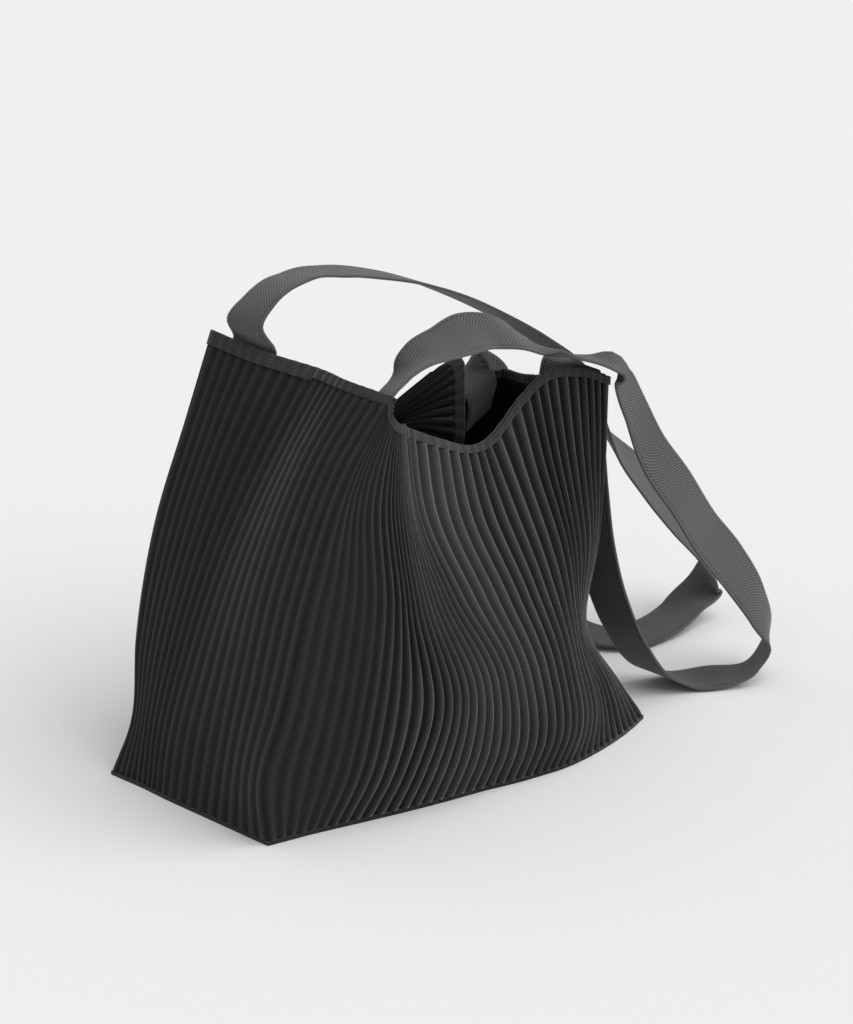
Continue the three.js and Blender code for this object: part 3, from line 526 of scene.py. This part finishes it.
def base_cloth_finish(name, colour):
    """Plain black weave."""
    n = Nodes(name)
    place = n.add("TexCoord").outputs["Object"]
    warp = n.add("TexWave", {"Vector": place, "Scale": 320, "Distortion": 0.5, "Detail": 1},
                 wave_type="BANDS", bands_direction="X").outputs["Fac"]
    weft = n.add("TexWave", {"Vector": place, "Scale": 320, "Distortion": 0.5, "Detail": 1},
                 wave_type="BANDS", bands_direction="Y").outputs["Fac"]
    clouds = n.add("TexNoise", {"Vector": place, "Scale": 25, "Detail": 3}).outputs["Fac"]
    weave = n.maths("MULTIPLY", warp, weft)
    tone = n.blend(weave, shade(colour, 0.7), shade(colour, 1.4))
    tone = n.blend(n.maths("MULTIPLY", clouds, 0.4), tone, shade(colour, 0.6))
    n.link(tone, "Base Color")
    bump = n.add("Bump", {"Strength": 0.4, "Distance": 0.0003, "Height": weave}).outputs[0]
    n.link(bump, "Normal")
    n.shader.inputs["Roughness"].default_value = 0.9
    n.shader.inputs["Specular IOR Level"].default_value = 0.25
    n.shader.inputs["Sheen Weight"].default_value = 0.2
    n.shader.inputs["Sheen Roughness"].default_value = 0.5
    return n.material


def finish(key):
    """Each finish is made once and shared."""
    colours = bpy.context.scene.bag_colours
    name = {"cloth": "pleated cloth", "base": "base cloth", "webbing": "twill webbing"}[key]
    if name in bpy.data.materials:
        return bpy.data.materials[name]
    if key == "cloth":
        return pleated_cloth_finish(name, tuple(colours.cloth))
    if key == "base":
        return base_cloth_finish(name, tuple(colours.base))
    return webbing_finish(name, tuple(colours.webbing), sizes().strap_width)


# Cloth panels

COLUMNS_PER_PLEAT = 10
WALL_ROWS = 74
HALF_ROUND = PLACES_ROUND // 2
RIDGE_SHARPNESS = 1.4


def pleat_fold(place):
    """Ridge at half places, valley at whole places, from -0.5 to 0.5."""
    return (0.5 - 0.5 * np.cos(2 * np.pi * place)) ** RIDGE_SHARPNESS - 0.5


def wall_top(place):
    s = sizes()
    _, _, up, _ = cloth_frame(place, np.array([1.0]))
    return 1 - s.hem_height / np.linalg.norm(up[:, 0], axis=-1)


def pleat_strength(place):
    """The pleats are pressed flatter on the left side than elsewhere."""
    return np.interp(place % PLACES_ROUND, (0, 15, 22, 107, 115, PLACES_ROUND),
                     (0.22, 0.22, 1, 1, 0.22, 0.22))


def painted_light_and_shade(place):
    """Painted light: the ridges are lighter than elsewhere on the gathered belly; painted shade: darker on
    the left side.
    """
    return np.interp(place % PLACES_ROUND, (0, 15, 21, 26, 33, 37, 107, 115, PLACES_ROUND),
                     (-0.24, -0.24, 0, 0.25, 0.25, 0, 0, -0.24, -0.24))


def panel_grid(first):
    s = sizes()
    place = first + np.linspace(0, HALF_ROUND, HALF_ROUND * COLUMNS_PER_PLEAT + 1)
    level = np.linspace(0, 1, WALL_ROWS + 1) * float(wall_top(place).mean())
    point, out, _, room = cloth_frame(place, level)
    depth = pleat_depth(room)
    fold = pleat_fold(place)[:, None] * pleat_strength(place)[:, None]
    surface = point + out * (fold * depth + s.cloth_wall / 2)[..., None]
    rise = np.concatenate([np.zeros((len(place), 1)),
                           np.cumsum(np.linalg.norm(np.diff(point, axis=1), axis=-1), axis=1)], axis=1)
    uv = np.stack([np.broadcast_to((place * 2 * s.pleat_side)[:, None], rise.shape), rise], axis=-1)
    # the ridge value is the pleat's fold plus painted light on the belly and painted shade on the left side
    ridge = np.broadcast_to(fold + 0.5 + painted_light_and_shade(place)[:, None], rise.shape)
    return surface, uv, ridge


def make_panel(name, first):
    s = sizes()
    surface, uv, ridge = panel_grid(first)
    piece = sheet_mesh(name, surface, s.cloth_wall, uv, ridge)
    dress(piece, name, finish("cloth"))
    return piece


HEM_COLUMNS_PER_PLEAT = 6
HEM_ROWS = 6
HEM_PLEATING = 0.2      # share of the pleats' depth that shows in the hem
HEM_TONE = 0.6


def make_hem(name, first):
    s = sizes()
    place = first + np.linspace(0, HALF_ROUND, HALF_ROUND * HEM_COLUMNS_PER_PLEAT + 1)
    foot = float(wall_top(place).mean())
    level = np.linspace(foot, 1, HEM_ROWS + 1)
    point, out, _, room = cloth_frame(place, level)
    fold = pleat_fold(place)[:, None] * HEM_PLEATING
    surface = point + out * (fold * pleat_depth(room) + s.hem_thickness / 2)[..., None]
    run = np.concatenate([[0], np.cumsum(np.linalg.norm(np.diff(point[:, -1], axis=0), axis=-1))])
    rise = np.linspace(0, s.hem_height, HEM_ROWS + 1)
    uv = np.stack(np.meshgrid(run, rise, indexing="ij"), axis=-1)
    piece = sheet_mesh(name, surface, s.hem_thickness, uv, np.full(surface.shape[:2], HEM_TONE))
    dress(piece, name, finish("cloth"))


# Straps

STRAP_STEP = 0.0025
STRAP_COLUMNS = 10
STRAP_EDGE = 0.0004
TAIL_SHARES = (1, 0.5, 0)
SAMPLE_PLACES = np.arange(-6, 6.01, 0.25)   # pleats beside a seat where the cloth may be in its way
THICKEST_WALL = 2.2     # limit of the slanted wall of the solids, in cloth walls


def at_hem(place):
    return cloth_points(np.array([place]), np.array([1.0]))[0, 0]


def inside_face(place, level):
    """The innermost points of the cloth's solid wall."""
    s = sizes()
    point, out, _, room = cloth_frame(place, level)
    depth = pleat_depth(room, s.cad_shallow_pleat)
    wall = s.cad_wall * np.minimum(np.sqrt(1 + (2 * depth / room) ** 2), THICKEST_WALL)
    return point - out * ((depth + np.maximum(wall, s.hem_thickness)) / 2)[..., None]


def seat_axes(seat):
    """Directions up the tail, across its webbing, into the bag and sideways, and its size in the last two."""
    s = sizes()
    if "across" in seat:
        up, across = unit(np.array(seat["up"], float)), unit(np.array(seat["across"], float))
        across = unit(across - up * (across @ up))
        return up, across, across, np.cross(up, across), s.strap_width, s.strap_thickness
    place = seat["place"]
    spread = s.strap_width / 2 / np.linalg.norm(at_hem(place + 0.5) - at_hem(place - 0.5))
    up = unit(cloth_frame(np.array([place]), np.array([1.0]))[2][0, 0])
    across = at_hem(place - spread) - at_hem(place + spread)
    across = unit(across - up * (across @ up))
    return up, across, np.cross(across, up), across, s.strap_thickness, s.strap_width


def tail_stations(seat):
    """A sewn tail from its lowest end up to the hem, and over the hem where the strap leaves outwards."""
    s = sizes()
    up, across, inward, sideways, depth, breadth = seat_axes(seat)
    here = at_hem(seat["place"])
    places = seat["place"] + SAMPLE_PLACES
    run = np.linalg.norm(cloth_frame(np.array([seat["place"]]), np.array([1.0]))[2][0, 0])
    levels = 1 - np.array(TAIL_SHARES) * s.strap_tail / run

    def reach(points, direction):
        offset = points - here
        in_the_way = np.abs(offset @ sideways) < breadth / 2 + s.seat_margin
        return float((offset @ direction)[in_the_way].max())

    inside = s.gap + depth / 2 + reach(inside_face(places, levels), inward)
    tail = [(here - up * s.strap_tail * share + inward * inside, across) for share in TAIL_SHARES]
    if not seat.get("over_hem"):
        return tail
    turn = s.strap_fold + reach(cloth_points(places, np.array([1.0])), up)
    return tail + [(here + up * turn + inward * away, across) for away in (inside / 2, -s.hem_thickness)]


def strap_stations(route, start, end):
    s = sizes()
    scale = np.array([s.base_length, s.base_depth, s.bag_height])
    middle = [(np.array(p) * scale, unit(np.array(w, float))) for _, p, w in route]
    last = tail_stations(end)[::-1]
    turn = np.sign(last[0][1] @ middle[-1][1])
    stations = tail_stations(start) + middle + [(p, w * turn) for p, w in last]
    return np.array([p for p, _ in stations]), np.array([w for _, w in stations])


def make_strap(name, route, start, end):
    s = sizes()
    at, across = strap_stations(route, start, end)
    travelled = np.concatenate([[0], np.cumsum(np.linalg.norm(np.diff(at, axis=0), axis=-1))])
    t = np.linspace(0, travelled[-1], int(travelled[-1] / STRAP_STEP))
    middle = along_curve(travelled, at, t)
    wide = along_curve(travelled, across, t)
    ahead = unit(np.gradient(middle, t, axis=0))
    wide = unit(wide - ahead * np.sum(wide * ahead, axis=-1, keepdims=True))
    face = np.cross(wide, ahead)
    side = np.linspace(-0.5, 0.5, STRAP_COLUMNS + 1) * s.strap_width
    grid = (middle[None] + wide[None] * side[:, None, None] + face[None] * s.strap_thickness / 2)
    uv = np.stack(np.meshgrid(side, t, indexing="ij"), axis=-1)
    piece = sheet_mesh(name, grid, s.strap_thickness, uv)
    dress(piece, name, finish("webbing"))
    edges = piece.modifiers.new("soft edges", "BEVEL")
    edges.width = STRAP_EDGE
    edges.segments = 2
    edges.limit_method = "ANGLE"


OPERATORS = []


def add_operator(cls):
    OPERATORS.append(cls)
    return cls


@add_operator
class BAG_OT_base(bpy.types.Operator):
    """Cloth covered base panel"""
    bl_idname = "bag.base"
    bl_label = "Base"

    def execute(self, context):
        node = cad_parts["base_panel"]
        node.data.materials.clear()
        node.data.materials.append(finish("base"))
        return {"FINISHED"}


@add_operator
class BAG_OT_walls(bpy.types.Operator):
    """Pleated front and back walls, each with its half of both sides"""
    bl_idname = "bag.walls"
    bl_label = "Pleated walls"

    def execute(self, context):
        for name, first in (("front_panel", 0), ("back_panel", HALF_ROUND)):
            panel = make_panel(name, first)
        return {"FINISHED"}


@add_operator
class BAG_OT_hems(bpy.types.Operator):
    """Bound edge round the mouth"""
    bl_idname = "bag.hems"
    bl_label = "Hems"

    def execute(self, context):
        make_hem("front_hem", 0)
        make_hem("back_hem", HALF_ROUND)
        return {"FINISHED"}


@add_operator
class BAG_OT_straps(bpy.types.Operator):
    """Two flat webbing straps, sewn inside the mouth and looping down to the right"""
    bl_idname = "bag.straps"
    bl_label = "Straps"

    def execute(self, context):
        make_strap("front_strap", FRONT_ROUTE, FRONT_START, FRONT_END)
        make_strap("back_strap", BACK_ROUTE, BACK_START, BACK_END)
        return {"FINISHED"}


@add_operator
class BAG_OT_stage(bpy.types.Operator):
    """Pale floor, which also fills the background, the soft studio light and the camera"""
    bl_idname = "bag.stage"
    bl_label = "Stage"

    def execute(self, context):
        make_floor()
        make_lights()
        make_camera()
        return {"FINISHED"}


class BAG_PT_panel(bpy.types.Panel):
    bl_label = "Pleated shopper bag"
    bl_idname = "BAG_PT_panel"
    bl_space_type = "VIEW_3D"
    bl_region_type = "UI"
    bl_category = "Bag"

    def draw(self, context):
        for group in (context.scene.bag_sizes, context.scene.bag_colours):
            box = self.layout.box()
            for key in group.bl_rna.properties.keys():
                if key not in ("rna_type", "name"):
                    box.prop(group, key)
        for operator in OPERATORS:
            self.layout.operator(operator.bl_idname)


# Stage

FLOOR_SIZE = 60


def make_floor():
    bm = bmesh.new()
    bmesh.ops.create_grid(bm, x_segments=1, y_segments=1, size=FLOOR_SIZE)
    mesh = bpy.data.meshes.new("floor")
    bm.to_mesh(mesh)
    bm.free()
    floor = bpy.data.objects.new("floor", mesh)
    bpy.context.scene.collection.objects.link(floor)
    n = Nodes("pale floor")
    colour = tuple(bpy.context.scene.bag_colours.floor)
    n.shader.inputs["Base Color"].default_value = shade(colour, 1)
    n.shader.inputs["Roughness"].default_value = 0.9
    n.shader.inputs["Specular IOR Level"].default_value = 0.1
    mesh.materials.append(n.material)


# One far, soft light from the front right, above, and an even white studio all round
KEY_NAME = "key from the front right, above"
KEY_PLACE = (0.35, -1.0, 1.35)
KEY_SOFTNESS = math.radians(70)
KEY_STRENGTH = 1.9
STUDIO_STRENGTH = 0.58


def make_lights():
    light = bpy.data.lights.new(KEY_NAME, "SUN")
    light.angle = KEY_SOFTNESS
    light.energy = KEY_STRENGTH
    holder = bpy.data.objects.new(KEY_NAME, light)
    holder.rotation_euler = Vector(KEY_PLACE).to_track_quat("Z", "Y").to_euler()
    holder.location = KEY_PLACE
    bpy.context.scene.collection.objects.link(holder)
    world = bpy.data.worlds.new("studio")
    world.use_nodes = True
    back = world.node_tree.nodes["Background"]
    back.inputs[0].default_value = (1, 1, 1, 1)
    back.inputs[1].default_value = STUDIO_STRENGTH
    bpy.context.scene.world = world
    bpy.context.scene.view_settings.view_transform = "Standard"


CAMERA_TARGET = (0.0389, 0.0, 0.1512)
CAMERA_AZIMUTH = math.radians(-41.8)
CAMERA_ELEVATION = math.radians(18.55)
CAMERA_DISTANCE = 2.74
CAMERA_LENS = 150
CAMERA_SENSOR = 36


def make_camera():
    data = bpy.data.cameras.new("camera")
    data.lens = CAMERA_LENS
    data.sensor_width = CAMERA_SENSOR
    camera = bpy.data.objects.new("camera", data)
    a, e = CAMERA_AZIMUTH, CAMERA_ELEVATION
    back = Vector((math.sin(a) * math.cos(e), -math.cos(a) * math.cos(e), math.sin(e)))
    camera.location = Vector(CAMERA_TARGET) + back * CAMERA_DISTANCE
    camera.rotation_euler = (-back).to_track_quat("-Z", "Y").to_euler()
    bpy.context.scene.collection.objects.link(camera)
    bpy.context.scene.camera = camera


CLASSES = (BagSizes, BagColours, *OPERATORS, BAG_PT_panel)


def register():
    for cls in CLASSES:
        bpy.utils.register_class(cls)
    bpy.types.Scene.bag_sizes = bpy.props.PointerProperty(type=BagSizes)
    bpy.types.Scene.bag_colours = bpy.props.PointerProperty(type=BagColours)


def unregister():
    del bpy.types.Scene.bag_colours
    del bpy.types.Scene.bag_sizes
    for cls in reversed(CLASSES):
        bpy.utils.unregister_class(cls)


def main():
    register()
    bpy.ops.bag.stage()
    bpy.ops.bag.base()
    bpy.ops.bag.walls()
    bpy.ops.bag.hems()
    bpy.ops.bag.straps()


if __name__ == "__main__":
    main()
